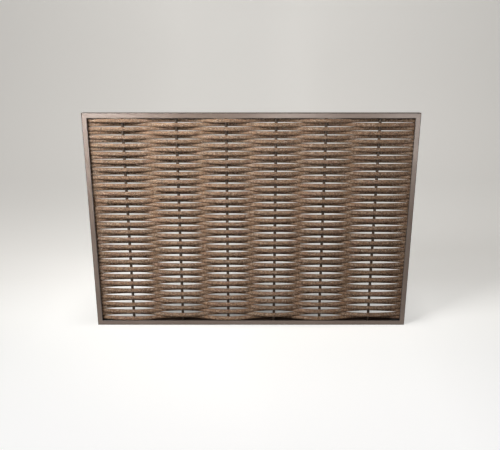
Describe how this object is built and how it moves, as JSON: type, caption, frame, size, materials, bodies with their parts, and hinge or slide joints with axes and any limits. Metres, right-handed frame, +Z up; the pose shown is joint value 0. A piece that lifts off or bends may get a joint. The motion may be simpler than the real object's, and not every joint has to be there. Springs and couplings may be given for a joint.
{
  "type": "woven fence panel",
  "caption": "Rectangular garden fence panel: thick speckled strands woven over and under upright rods in a slim metal frame.",
  "frame": {"origin": "middle of the panel's bottom face, halfway along its length and its depth", "axes": "+X along the panel to the viewer's right, +Y from the front to the back, +Z up"},
  "size_m": [1.5, 0.0484, 1.023],
  "materials": {
    "frame": "satin",
    "corner_key": "matte",
    "rod": "satin",
    "strand": "matte"
  },
  "bodies": {
    "root": {"bottom_rail": "frame", "top_rail": "frame", "left_stile": "frame", "right_stile": "frame", "bottom_left_corner_key": "corner_key", "bottom_right_corner_key": "corner_key", "top_left_corner_key": "corner_key", "top_right_corner_key": "corner_key", "upright_rod_1": "rod", "upright_rod_2": "rod", "upright_rod_3": "rod", "upright_rod_4": "rod", "upright_rod_5": "rod", "upright_rod_6": "rod", "woven_infill": "strand"}
  },
  "joints": []
}
